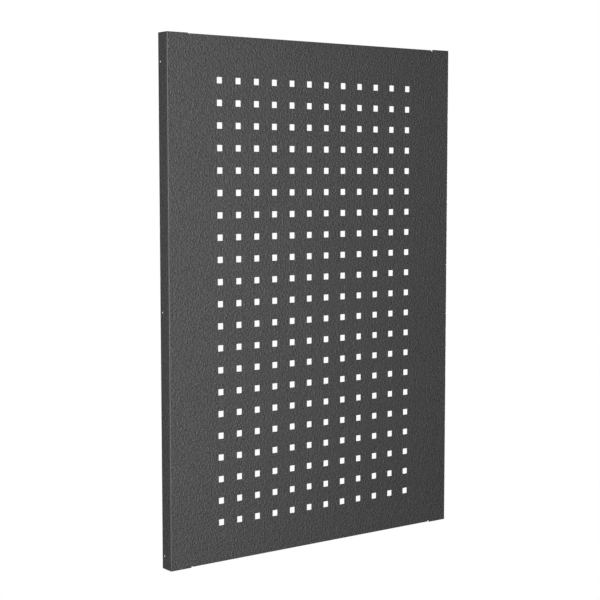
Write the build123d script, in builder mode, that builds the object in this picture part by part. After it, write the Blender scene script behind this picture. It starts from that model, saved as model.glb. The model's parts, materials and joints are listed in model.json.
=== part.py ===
"""Perforated back panel of a gondola shelving unit.

One steel sheet is folded into a shallow tray, open at the rear. Its flat face is punched with a
one-inch grid of square peg holes, and a flange is bent back from each of its four edges. The side
flanges run the full height. The top and bottom flanges stop short of the sides, so that an upright
can pass behind each end of the face, and a relief slot parts each bend from the corner tab beside it.

Each region of the sheet between two bend lines is a piece of its own. A flange piece holds its bend,
and it meets the face where the bend begins.

Frame: X to the right, Y from the front to the rear, Z up. The origin is at the middle of the bottom
of the bounding box. Lengths are in millimetres.
"""

from build123d import *
import os

# ---------------------------------------------------------------- overall size
WIDTH = 417.0                       # over both side flanges
HEIGHT = 605.7                      # over the corner tabs
DEPTH = 18.6                        # front of the face to the rear edge of the flanges

# ---------------------------------------------------------------- sheet
SHEET = 0.85                        # coated 22-gauge galvanised steel
BEND_RADIUS = 1.5 * SHEET           # outer radius; the inner radius is half a sheet thickness

# ---------------------------------------------------------------- peg holes
PITCH = 25.4                        # 1 in, both ways
COLUMNS = 12
ROWS = 21
PEG_HOLE = 7.14                     # side of the square, 9/32 in
PEG_HOLE_CORNER = 0.4               # corner radius of the punch
TOP_MARGIN = 50.7                   # tab edge to the centre of the first row

# ---------------------------------------------------------------- corner tabs and relief slots
TAB_WIDTH = 27.4                    # side of the panel to the relief slot
SLOT_WIDTH = 2.3
SLOT_DEPTH = 1.9                    # from the tab edge to just past the bend
TAB_RISE = 0.5                      # how far a tab stands past the top or bottom flange

# ---------------------------------------------------------------- screw holes in the side flanges
SCREW_HOLE = 2.4                    # diameter
SCREW_COUNT = 3                     # in each side flange
SCREW_SPACING = 11 * PITCH
SCREW_BOTTOM = 14.8                 # tab edge to the lowest hole
SCREW_FROM_REAR = 4.0               # rear edge to the hole centre

# ---------------------------------------------------------------- places worked out from these
SIDE = WIDTH / 2                    # outer face of the right flange
FRONT = -DEPTH / 2                  # front of the face
REAR = DEPTH / 2
FLAT_SIDE = SIDE - BEND_RADIUS      # where the side bends begin
SLOT_OUTER = SIDE - TAB_WIDTH
SLOT_INNER = SLOT_OUTER - SLOT_WIDTH
FLANGE_TOP = HEIGHT - TAB_RISE      # outer face of the top flange
FLANGE_BOTTOM = TAB_RISE
FLAT_TOP = FLANGE_TOP - BEND_RADIUS
FLAT_BOTTOM = FLANGE_BOTTOM + BEND_RADIUS
GRID_MIDDLE = HEIGHT - TOP_MARGIN - (ROWS - 1) * PITCH / 2
SCREW_HEIGHTS = [SCREW_BOTTOM + n * SCREW_SPACING for n in range(SCREW_COUNT)]
SCREW_DEPTH = REAR - SCREW_FROM_REAR

os.makedirs("parts", exist_ok=True)

made = []


def finish(name, part):
    """Label one piece and write it to its own file."""
    part.label = name
    export_step(part, f"parts/{name}.step")
    made.append((name, part))


def face_outline():
    """Corners of the flat face, anticlockwise from the lower left, as seen from the front."""
    lower_right = [
        (SLOT_INNER, FLAT_BOTTOM),
        (SLOT_INNER, SLOT_DEPTH),
        (SLOT_OUTER, SLOT_DEPTH),
        (SLOT_OUTER, 0),
        (FLAT_SIDE, 0),
    ]
    upper_right = [
        (FLAT_SIDE, HEIGHT),
        (SLOT_OUTER, HEIGHT),
        (SLOT_OUTER, HEIGHT - SLOT_DEPTH),
        (SLOT_INNER, HEIGHT - SLOT_DEPTH),
        (SLOT_INNER, FLAT_TOP),
    ]
    right = lower_right + upper_right
    left = [(-x, z) for x, z in reversed(right)]
    return right + left


def folded_flange(bend_start, outward, length):
    """Bend and return, extruded along the normal of the plane bend_start.

    The plane's origin is where the bend begins, on the front of the face. Its X points to the rear.
    The panel's outside is on the plane's +Y when outward is 1, and on its -Y when outward is -1.
    """
    outer = outward * BEND_RADIUS
    inner = outward * (BEND_RADIUS - SHEET)
    with BuildPart() as flange:
        with BuildSketch(bend_start):
            with BuildLine():
                CenterArc((BEND_RADIUS, 0), BEND_RADIUS, 180, -90 * outward)
                Polyline((BEND_RADIUS, outer), (DEPTH, outer), (DEPTH, inner), (BEND_RADIUS, inner))
                CenterArc((BEND_RADIUS, 0), BEND_RADIUS - SHEET, 90 * outward, 90 * outward)
                Line((SHEET, 0), (0, 0))
            make_face()
        extrude(amount=length)
    return flange.part


# ---------------------------------------------------------------- flat face
# The sketch plane is the front of the face: its X is the panel's X and its Y is the panel's Z.
front_plane = Plane(origin=(0, FRONT, 0), x_dir=(1, 0, 0), z_dir=(0, -1, 0))

with BuildPart() as perforated_face:
    with BuildSketch(front_plane):
        with BuildLine():
            Polyline(*face_outline(), close=True)
        make_face()
        with Locations((0, GRID_MIDDLE)):
            with GridLocations(PITCH, PITCH, COLUMNS, ROWS):
                RectangleRounded(PEG_HOLE, PEG_HOLE, PEG_HOLE_CORNER, mode=Mode.SUBTRACT)
    extrude(amount=-SHEET)
finish("perforated_face", perforated_face.part)


# ---------------------------------------------------------------- side flanges, full height
for side, name in ((-1, "left_side_flange"), (1, "right_side_flange")):
    bend_start = Plane(origin=(side * FLAT_SIDE, FRONT, 0), x_dir=(0, 1, 0), z_dir=(0, 0, 1))
    blank = folded_flange(bend_start, -side, HEIGHT)
    outer_face = Plane(origin=(side * SIDE, 0, 0), x_dir=(0, 1, 0), z_dir=(1, 0, 0))
    with BuildPart() as side_flange:
        add(blank)
        with BuildSketch(outer_face):
            with Locations(*[(SCREW_DEPTH, height) for height in SCREW_HEIGHTS]):
                Circle(SCREW_HOLE / 2)
        extrude(amount=2 * SHEET, both=True, mode=Mode.SUBTRACT)
    finish(name, side_flange.part)

# ---------------------------------------------------------------- top and bottom flanges
for start_height, outward, name in ((FLAT_TOP, 1, "top_flange"), (FLAT_BOTTOM, -1, "bottom_flange")):
    bend_start = Plane(origin=(-SLOT_INNER, FRONT, start_height), x_dir=(0, 1, 0), z_dir=(1, 0, 0))
    finish(name, folded_flange(bend_start, outward, 2 * SLOT_INNER))

for name, part in made:
    box = part.bounding_box()
    print(f"{name}: {part.volume:.0f} mm3, {box.min} to {box.max}")
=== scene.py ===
"""Looks of a perforated gondola back panel: a folded, powder-coated steel sheet.

The sheet is drawn flat, region by region, as quads with its holes and notches. Each region is then
folded round its bend and given its thickness, with every cut edge rounded by the coat. The regions
share their edges at the bends, so that the sheet reads as one piece. Lengths are in metres.
"""

import json
import math

import bpy
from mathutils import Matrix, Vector


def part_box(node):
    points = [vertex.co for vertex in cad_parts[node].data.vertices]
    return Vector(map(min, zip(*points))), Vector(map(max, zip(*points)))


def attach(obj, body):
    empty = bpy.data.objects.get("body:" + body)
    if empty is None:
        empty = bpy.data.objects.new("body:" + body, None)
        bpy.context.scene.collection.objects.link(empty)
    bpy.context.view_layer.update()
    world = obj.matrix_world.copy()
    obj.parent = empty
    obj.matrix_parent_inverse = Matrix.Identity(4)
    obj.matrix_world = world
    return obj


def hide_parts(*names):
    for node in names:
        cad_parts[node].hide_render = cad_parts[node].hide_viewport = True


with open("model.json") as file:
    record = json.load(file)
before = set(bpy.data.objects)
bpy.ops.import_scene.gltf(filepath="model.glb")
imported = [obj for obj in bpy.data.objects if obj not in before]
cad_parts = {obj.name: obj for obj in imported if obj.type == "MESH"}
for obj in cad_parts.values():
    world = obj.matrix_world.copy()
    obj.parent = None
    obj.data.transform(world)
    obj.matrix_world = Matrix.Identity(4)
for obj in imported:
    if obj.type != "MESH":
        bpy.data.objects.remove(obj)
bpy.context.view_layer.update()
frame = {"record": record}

# ---------------------------------------------------------------- sizes taken from the frame
face_low, face_high = [Vector(corner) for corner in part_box("perforated_face")]
side_low, side_high = [Vector(corner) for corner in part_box("right_side_flange")]
top_low, top_high = [Vector(corner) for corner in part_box("top_flange")]
bottom_high = Vector(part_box("bottom_flange")[1])
mounts = {mount["name"]: mount for mount in frame["record"]["mounts"]}

FRONT = face_low.y
SHEET = face_high.y - face_low.y
FLAT_SIDE = face_high.x                     # where the side bends begin
BEND_RADIUS = side_high.x - FLAT_SIDE       # outer radius
DEPTH = side_high.y - side_low.y
HEIGHT = face_high.z
FLAT_TOP = top_low.z
FLAT_BOTTOM = bottom_high.z
SLOT_INNER = top_high.x                     # the top and bottom flanges end here
GRID_MIDDLE = Vector(mounts["peg_grid"]["pos_m"])
SCREW_MIDDLE = Vector(mounts["right_screw_holes"]["pos_m"])
SCREW_REACH = mounts["right_screw_holes"]["dims"]["spacing_y_mm"] / 1000 / 2
SCREW_RADIUS = mounts["right_screw_holes"]["dims"]["hole_r_mm"] / 1000

# ---------------------------------------------------------------- sizes of the punched features
PITCH = 0.0254
COLUMNS = 12
ROWS = 21
PEG_HOLE = 0.00714
PEG_HOLE_CORNER = 0.0004
SLOT_WIDTH = 0.0023
SLOT_DEPTH = 0.0019
SLOT_OUTER = SLOT_INNER + SLOT_WIDTH
SCREW_CELL = 0.0032                         # half of the square patch round a screw hole

# ---------------------------------------------------------------- mesh fineness
EDGE_ROUND = 0.00012                        # radius that the coat gives to a cut edge
EDGE_STEPS = 3                              # quads round each such quarter turn
BEND_STEPS = 12                             # quads round a bend
CELL_STEPS = 5                              # divisions along each side of a hole's cell
MARGIN_STEPS = 3                            # divisions from the hole field to a relief slot
FLANGE_STEPS = 24                           # divisions along a flange

# ---------------------------------------------------------------- the powder coat
WRINKLE = 0.0024                            # size of its largest wrinkles
GRAIN = 0.0013                              # size of the grain between them
GRAIN_SHARE = 0.35                          # of the grain in the relief
CLOUD = 0.05                                # size of the slow changes in tone
CLOUD_SHARE = 0.05                          # of those changes in the tone
NOISE_DETAIL = 2.0
RELIEF_LOW, RELIEF_HIGH = 0.35, 0.65        # the noise seldom goes past these
ROUGH_LOW, ROUGH_HIGH = 0.60, 0.48          # roughness in the hollows and on the crests
TONES = ((0.36, 0.036), (0.64, 0.065), (1.0, 0.12))     # greys at three places on the tone's scale; the tone follows the relief, so its dark end is painted shade in the wrinkle's hollows
WRINKLE_HEIGHT = 0.0044                     # bump distance
BUMP, EDGE_BUMP = 0.9, 0.15                 # bump strength on the flats and on the edges
FLAT_COSINE, EDGE_COSINE = 0.99, 0.92       # an edge fades in between 8 and 23 degrees off the flats
EDGE_HIGHLIGHT = 0.02                            # painted highlight on the bends and cut edges: how much lighter an edge is, on the tone's scale
EDGE_SHINE = 0.95                           # factor on an edge's roughness

# ---------------------------------------------------------------- stage, camera and light
FLOOR_REACH = 6.0
FLOOR_LIGHT = 0.17                          # what the floor and the surround give to the panel
WORLD_LIGHT = 0.19
CAMERA_PLACE = Vector((-1.02125, -1.3459, 0.1463))      # from the middle of the peg grid
CAMERA_TILT = -5.03                         # degrees up from the horizontal
CAMERA_TURN = -36.46                        # degrees anticlockwise from +Y, seen from above
LENS = 84.55                                # millimetres, on a 36 mm sensor

FRONT_NORMAL = Vector((0, -1, 0))
REARWARD = Vector((0, 1, 0))


# ---------------------------------------------------------------- flat patterns
def spaced(start, end, count):
    """Evenly spaced lines from start to end, in count steps."""
    return [start + (end - start) * n / count for n in range(count + 1)]


def grid_faces(a_lines, b_lines, left_out):
    """Rectangles between the lines, except where left_out(a, b) says so of a rectangle's middle."""
    faces = []
    for a0, a1 in zip(a_lines, a_lines[1:]):
        for b0, b1 in zip(b_lines, b_lines[1:]):
            if not left_out((a0 + a1) / 2, (b0 + b1) / 2):
                faces.append([(a0, b0), (a1, b0), (a1, b1), (a0, b1)])
    return faces


def hole_faces(middle, cell, half, corner):
    """Ring of quads between a hole and the square cell round it.

    The hole is a square of half-width half with corners of radius corner, or a circle when the two
    are equal. The cell's sides are divided as the grid's lines divide them.
    """
    step = math.radians(90 / CELL_STEPS if corner == half else 90 / (CELL_STEPS - 1))
    reach = (CELL_STEPS - 1) // 2
    inner, outer = [], []
    for quarter in range(4):
        for n in range(-reach, reach + 1):
            angle = math.radians(45) + n * step
            hole = (half - corner + corner * math.cos(angle), half - corner + corner * math.sin(angle))
            shrink = 1 - 2 * abs(n) / CELL_STEPS
            edge = (cell, cell * shrink) if n <= 0 else (cell * shrink, cell)
            for _ in range(quarter):
                hole = (-hole[1], hole[0])
                edge = (-edge[1], edge[0])
            inner.append((middle[0] + hole[0], middle[1] + hole[1]))
            outer.append((middle[0] + edge[0], middle[1] + edge[1]))
    following = range(1, len(inner) + 1)
    return [[inner[n - 1], outer[n - 1], outer[n % len(outer)], inner[n % len(inner)]] for n in following]


# ---------------------------------------------------------------- from a flat pattern to folded sheet
def edge_profile():
    """Rings round a cut edge, front to rear: how far out, how deep, and which way the surface faces."""
    quarter = spaced(0, math.pi / 2, EDGE_STEPS)
    front = [(EDGE_ROUND * math.sin(t), EDGE_ROUND * (1 - math.cos(t)), t) for t in quarter]
    rear = [(out, SHEET - depth, math.pi - t) for out, depth, t in reversed(front)]
    return front + rear


PROFILE = edge_profile()
REAR_RING = len(PROFILE) - 1


def border_mitres(cut_edges):
    """Outward direction at each point of the cut edges, long enough to move both edges by one."""
    normals = {}
    for p, q in cut_edges:
        across = Vector((q[1] - p[1], p[0] - q[0])).normalized()
        normals.setdefault(p, []).append(across)
        normals.setdefault(q, []).append(across)
    return {p: sum(ns, Vector((0, 0))) / (1 + ns[0].dot(ns[-1]) * (len(ns) - 1)) for p, ns in normals.items()}


def folded_mesh(name, pattern, surface, on_seam):
    """Closed mesh of one region of the sheet.

    pattern is a list of faces, anticlockwise as seen from the sheet's outside. surface(p) gives the
    outer surface at a pattern point: its place, its two directions and its normal. on_seam(p, q) says
    that a border edge lies on a bend, where the next region goes on and the end is a flat cap.
    """
    pattern = [[(round(a, 8), round(b, 8)) for a, b in face] for face in pattern]
    edges = {(p, q) for face in pattern for p, q in zip(face, face[1:] + face[:1])}
    border = sorted((p, q) for p, q in edges if (q, p) not in edges)
    cut_edges = [edge for edge in border if not on_seam(*edge)]
    seam_edges = [edge for edge in border if on_seam(*edge)]
    mitres = border_mitres(cut_edges)
    cut_starts = {p for p, q in cut_edges}
    cut_ends = {q for p, q in cut_edges}

    index, points, faces, normals = {}, [], [], []

    def corner(p, ring):
        """Index of the vertex at a pattern point and ring, and its shading normal."""
        place, along_a, along_b, outside = surface(p)
        out, depth, angle = PROFILE[ring]
        mitre = mitres.get(p, Vector((0, 0)))
        sideways = along_a * mitre[0] + along_b * mitre[1]
        if (p, ring) not in index:
            index[p, ring] = len(points)
            points.append(place + sideways * out - outside * depth)
        return index[p, ring], outside * math.cos(angle) + sideways.normalized() * math.sin(angle)

    def add_face(corners, flat_normal=None):
        faces.append([vertex for vertex, _ in corners])
        normals.extend(flat_normal or normal for _, normal in corners)

    for face in pattern:
        add_face([corner(p, 0) for p in face])
        add_face([corner(p, REAR_RING) for p in reversed(face)])
    for p, q in cut_edges:
        for ring in range(REAR_RING):
            add_face([corner(q, ring), corner(p, ring), corner(p, ring + 1), corner(q, ring + 1)])
    for p, q in seam_edges:
        _, along_a, along_b, _ = surface(p)
        cap_normal = (along_a * (q[1] - p[1]) + along_b * (p[0] - q[0])).normalized()
        add_face([corner(q, 0), corner(p, 0), corner(p, REAR_RING), corner(q, REAR_RING)], cap_normal)
        if p in cut_ends:
            add_face([corner(p, ring) for ring in range(REAR_RING + 1)], cap_normal)
        if q in cut_starts:
            add_face([corner(q, ring) for ring in reversed(range(REAR_RING + 1))], cap_normal)

    mesh = bpy.data.meshes.new(name)
    mesh.from_pydata(points, [], faces, shade_flat=False)
    mesh.normals_split_custom_set(normals)
    return mesh


def add_piece(name, node, mesh, material):
    """Put a mesh in the scene as the finished look of a CAD node."""
    mesh.materials.append(material)
    piece = bpy.data.objects.new(name, mesh)
    bpy.context.scene.collection.objects.link(piece)
    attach(piece, "root")
    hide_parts(node)
    return piece


# ---------------------------------------------------------------- the regions of the sheet
def face_mesh():
    """Flat web with its peg holes, corner tabs and relief slots."""
    half_width = COLUMNS * PITCH / 2
    half_height = ROWS * PITCH / 2
    slot_inner = SLOT_INNER - EDGE_ROUND
    slot_outer = SLOT_OUTER + EDGE_ROUND
    slot_end = SLOT_DEPTH + EDGE_ROUND

    right = spaced(half_width, slot_inner, MARGIN_STEPS) + [slot_outer, FLAT_SIDE]
    left = [-x for x in reversed(right)]
    across = left + spaced(-half_width, half_width, COLUMNS * CELL_STEPS)[1:-1] + right
    below = [EDGE_ROUND, FLAT_BOTTOM] + spaced(slot_end, GRID_MIDDLE.z - half_height, MARGIN_STEPS)
    above = spaced(GRID_MIDDLE.z + half_height, HEIGHT - slot_end, MARGIN_STEPS)
    above += [FLAT_TOP, HEIGHT - EDGE_ROUND]
    middle = spaced(GRID_MIDDLE.z - half_height, GRID_MIDDLE.z + half_height, ROWS * CELL_STEPS)[1:-1]

    def left_out(x, z):
        x = abs(x)
        in_peg_cells = x < half_width and abs(z - GRID_MIDDLE.z) < half_height
        in_slot = slot_inner < x < slot_outer and not slot_end < z < HEIGHT - slot_end
        past_bend = x < slot_inner and not FLAT_BOTTOM < z < FLAT_TOP
        return in_peg_cells or in_slot or past_bend

    pattern = grid_faces(across, below + middle + above, left_out)
    for column in range(COLUMNS):
        for row in range(ROWS):
            x = (column + 0.5) * PITCH - half_width
            z = GRID_MIDDLE.z + (row + 0.5) * PITCH - half_height
            pattern += hole_faces((x, z), PITCH / 2, PEG_HOLE / 2 + EDGE_ROUND, PEG_HOLE_CORNER + EDGE_ROUND)

    def surface(p):
        return Vector((p[0], FRONT, p[1])), Vector((1, 0, 0)), Vector((0, 0, 1)), FRONT_NORMAL

    def on_seam(p, q):
        at_side = p[0] == q[0] and abs(abs(p[0]) - FLAT_SIDE) < EDGE_ROUND / 2
        at_end = p[1] == q[1] and min(abs(p[1] - FLAT_BOTTOM), abs(p[1] - FLAT_TOP)) < EDGE_ROUND / 2
        return at_side or at_end

    return folded_mesh("perforated_face", pattern, surface, on_seam)


def flange_mesh(name, seam, outward, low, high, screw_places=()):
    """Bend and return beside the face.

    seam is the point at the front of the sheet where the bend begins, and outward is the way the face
    points there. Along the bend, the flange runs from low to high, measured from seam.
    """
    along = FRONT_NORMAL.cross(outward)
    bend = BEND_RADIUS * math.pi / 2
    rear = bend + DEPTH - BEND_RADIUS - EDGE_ROUND

    def surface(p):
        turn = min(p[0], bend) / BEND_RADIUS
        straight = max(p[0] - bend, 0)
        place = seam + along * p[1] + outward * (BEND_RADIUS * math.sin(turn))
        place += REARWARD * (BEND_RADIUS * (1 - math.cos(turn)) + straight)
        rearward = outward * math.cos(turn) + REARWARD * math.sin(turn)
        return place, rearward, along, FRONT_NORMAL * math.cos(turn) + outward * math.sin(turn)

    holes = [(bend + depth - BEND_RADIUS, place) for depth, place in screw_places]

    def left_out(a, b):
        return any(max(abs(a - hole[0]), abs(b - hole[1])) < SCREW_CELL for hole in holes)

    def cell_lines(axis):
        middles = {round(hole[axis], 8) for hole in holes}
        cells = [spaced(middle - SCREW_CELL, middle + SCREW_CELL, CELL_STEPS) for middle in middles]
        return [line for cell in cells for line in cell]

    a_lines = sorted(spaced(0, bend, BEND_STEPS) + cell_lines(0) + [rear])
    b_lines = sorted(spaced(low + EDGE_ROUND, high - EDGE_ROUND, FLANGE_STEPS) + cell_lines(1))
    pattern = grid_faces(a_lines, b_lines, left_out)
    for hole in holes:
        radius = SCREW_RADIUS + EDGE_ROUND
        pattern += hole_faces(hole, SCREW_CELL, radius, radius)

    def on_seam(p, q):
        return p[0] == 0 and q[0] == 0

    return folded_mesh(name, pattern, surface, on_seam)


def side_flange_mesh(name, side):
    """Full-height flange with its screw holes: side is -1 at the left and 1 at the right."""
    middle = Vector((side * FLAT_SIDE, FRONT, HEIGHT / 2))
    depth = SCREW_MIDDLE.y - FRONT
    heights = [SCREW_MIDDLE.z - HEIGHT / 2 + n * SCREW_REACH for n in (-1, 0, 1)]
    screws = [(depth, side * height) for height in heights]
    return flange_mesh(name, middle, Vector((side, 0, 0)), -HEIGHT / 2, HEIGHT / 2, screws)


def end_flange_mesh(name, height, outward):
    """Flange between two relief slots: outward is 1 at the top and -1 at the bottom."""
    return flange_mesh(name, Vector((0, FRONT, height)), Vector((0, 0, outward)), -SLOT_INNER, SLOT_INNER)


# ---------------------------------------------------------------- material
def powder_coat():
    """Charcoal powder coat with a fine wrinkle, pulled thin and rubbed smoother along its edges, where a
    lighter tone is a painted highlight.
    """
    material = bpy.data.materials.new("powder_coat")
    material.use_nodes = True
    nodes, links = material.node_tree.nodes, material.node_tree.links
    shader = nodes["Principled BSDF"]
    shader.inputs["IOR"].default_value = 1.5
    shader.inputs["Specular IOR Level"].default_value = 0.4
    surface = nodes.new("ShaderNodeTexCoord")

    def noise(feature):
        """Noise whose largest features are about feature across."""
        node = nodes.new("ShaderNodeTexNoise")
        node.inputs["Scale"].default_value = 1 / feature
        node.inputs["Detail"].default_value = NOISE_DETAIL
        links.new(surface.outputs["Object"], node.inputs["Vector"])
        return node.outputs["Fac"]

    def spread(value, low, high, out_low, out_high):
        """Map a value's low and high to two outputs, and hold it between them."""
        node = nodes.new("ShaderNodeMapRange")
        node.inputs["From Min"].default_value = low
        node.inputs["From Max"].default_value = high
        node.inputs["To Min"].default_value = out_low
        node.inputs["To Max"].default_value = out_high
        links.new(value, node.inputs["Value"])
        return node.outputs["Result"]

    def mix(first, second, share):
        node = nodes.new("ShaderNodeMix")
        node.inputs["Factor"].default_value = share
        links.new(first, node.inputs["A"])
        links.new(second, node.inputs["B"])
        return node.outputs["Result"]

    def combine(operation, first, second):
        node = nodes.new("ShaderNodeMath")
        node.operation = operation
        links.new(first, node.inputs[0])
        links.new(second, node.inputs[1])
        return node.outputs["Value"]

    # An edge is where the surface faces between the axes: on a bend, or round a cut edge.
    facing = nodes.new("ShaderNodeVectorMath")
    facing.operation = "ABSOLUTE"
    links.new(surface.outputs["Normal"], facing.inputs[0])
    axes = nodes.new("ShaderNodeSeparateXYZ")
    links.new(facing.outputs["Vector"], axes.inputs["Vector"])
    squareness = combine("MAXIMUM", axes.outputs["X"], axes.outputs["Y"])
    squareness = combine("MAXIMUM", squareness, axes.outputs["Z"])
    edge = spread(squareness, FLAT_COSINE, EDGE_COSINE, 0, 1)

    relief = mix(noise(WRINKLE), noise(GRAIN), GRAIN_SHARE)
    # Painted shade: the tone follows the relief, so the wrinkle's hollows are darker than its crests. The
    # clouds add a slow random change in tone.
    tone = mix(relief, noise(CLOUD), CLOUD_SHARE)
    # Painted highlight: the tone is raised on the edges, so that the bends show a bright crease line.
    highlighted_tone = combine("ADD", tone, spread(edge, 0, 1, 0, EDGE_HIGHLIGHT))

    ramp = nodes.new("ShaderNodeValToRGB")
    dark, light = ramp.color_ramp.elements
    lightest = ramp.color_ramp.elements.new(1.0)
    for element, (position, grey) in zip((dark, light, lightest), TONES):
        element.position = position
        element.color = (grey, grey, grey, 1)
    links.new(highlighted_tone, ramp.inputs["Fac"])
    links.new(ramp.outputs["Color"], shader.inputs["Base Color"])
    roughness = spread(relief, RELIEF_LOW, RELIEF_HIGH, ROUGH_LOW, ROUGH_HIGH)
    roughness = combine("MULTIPLY", roughness, spread(edge, 0, 1, 1, EDGE_SHINE))
    links.new(roughness, shader.inputs["Roughness"])

    bump = nodes.new("ShaderNodeBump")
    bump.inputs["Distance"].default_value = WRINKLE_HEIGHT
    links.new(spread(edge, 0, 1, BUMP, EDGE_BUMP), bump.inputs["Strength"])
    links.new(relief, bump.inputs["Height"])
    links.new(bump.outputs["Normal"], shader.inputs["Normal"])
    return material


coat = powder_coat()
add_piece("perforated_face_sheet", "perforated_face", face_mesh(), coat)
add_piece("left_side_flange_sheet", "left_side_flange", side_flange_mesh("left_side_flange", -1), coat)
add_piece("right_side_flange_sheet", "right_side_flange", side_flange_mesh("right_side_flange", 1), coat)
add_piece("top_flange_sheet", "top_flange", end_flange_mesh("top_flange", FLAT_TOP, 1), coat)
add_piece("bottom_flange_sheet", "bottom_flange", end_flange_mesh("bottom_flange", FLAT_BOTTOM, -1), coat)


# ---------------------------------------------------------------- stage, light and camera
def lit_white(tree, lighting):
    """Emission that the camera sees as pure white and that lights the panel more softly."""
    path = tree.nodes.new("ShaderNodeLightPath")
    strength = tree.nodes.new("ShaderNodeMapRange")
    strength.inputs["To Min"].default_value = lighting
    strength.inputs["To Max"].default_value = 1.0
    tree.links.new(path.outputs["Is Camera Ray"], strength.inputs["Value"])
    return strength.outputs["Result"]


def add_floor():
    """Plain white floor under the panel."""
    corners = [(-1, -1), (1, -1), (1, 1), (-1, 1)]
    mesh = bpy.data.meshes.new("floor")
    mesh.from_pydata([(x * FLOOR_REACH, y * FLOOR_REACH, 0) for x, y in corners], [], [(0, 1, 2, 3)])
    floor = bpy.data.objects.new("floor", mesh)
    bpy.context.scene.collection.objects.link(floor)
    material = bpy.data.materials.new("floor_white")
    material.use_nodes = True
    tree = material.node_tree
    tree.nodes.clear()
    glow = tree.nodes.new("ShaderNodeEmission")
    tree.links.new(lit_white(tree, FLOOR_LIGHT), glow.inputs["Strength"])
    out = tree.nodes.new("ShaderNodeOutputMaterial")
    tree.links.new(glow.outputs["Emission"], out.inputs["Surface"])
    mesh.materials.append(material)


def add_world():
    """White studio surround."""
    world = bpy.data.worlds.new("studio")
    world.use_nodes = True
    background = world.node_tree.nodes["Background"]
    background.inputs["Color"].default_value = (1, 1, 1, 1)
    world.node_tree.links.new(lit_white(world.node_tree, WORLD_LIGHT), background.inputs["Strength"])
    bpy.context.scene.world = world


def add_softbox(name, place, aim, width, height, power):
    """Rectangular area light at place, turned towards aim."""
    light = bpy.data.lights.new(name, "AREA")
    light.shape = "RECTANGLE"
    light.size = width
    light.size_y = height
    light.energy = power
    box = bpy.data.objects.new(name, light)
    box.location = place
    box.rotation_euler = (Vector(aim) - Vector(place)).to_track_quat("-Z", "Y").to_euler()
    bpy.context.scene.collection.objects.link(box)


def add_camera():
    """Long lens from the left, a little above the middle of the peg grid."""
    data = bpy.data.cameras.new("camera")
    data.sensor_width = 36
    data.lens = LENS
    camera = bpy.data.objects.new("camera", data)
    camera.location = GRID_MIDDLE + CAMERA_PLACE
    camera.rotation_euler = (math.radians(90 + CAMERA_TILT), 0, math.radians(CAMERA_TURN))
    bpy.context.scene.collection.objects.link(camera)
    bpy.context.scene.camera = camera


add_floor()
add_world()
add_softbox("key_light", (-0.71, -0.93, 0.51), (0, 0, 0.51), 0.35, 0.96, 18.6)
add_softbox("low_light", (-0.86, -0.81, 0.06), (0, 0, 0.06), 0.35, 0.12, 4.3)
add_softbox("rear_light", (0.7, 1.5, 0.32), (0, 0, 0.32), 0.9, 0.6, 16)
add_softbox("rear_fill", (-0.12, 1.1, 0.32), (0, 0, 0.32), 0.15, 0.6, 6)
add_softbox("top_light", (0, 0.5, 1.6), (0, 0, 0.6), 0.4, 0.4, 7)
add_softbox("right_light", (1.3, 0.45, 0.32), (0, 0, 0.32), 0.5, 0.6, 16)
add_camera()
bpy.context.scene.view_settings.view_transform = "Standard"
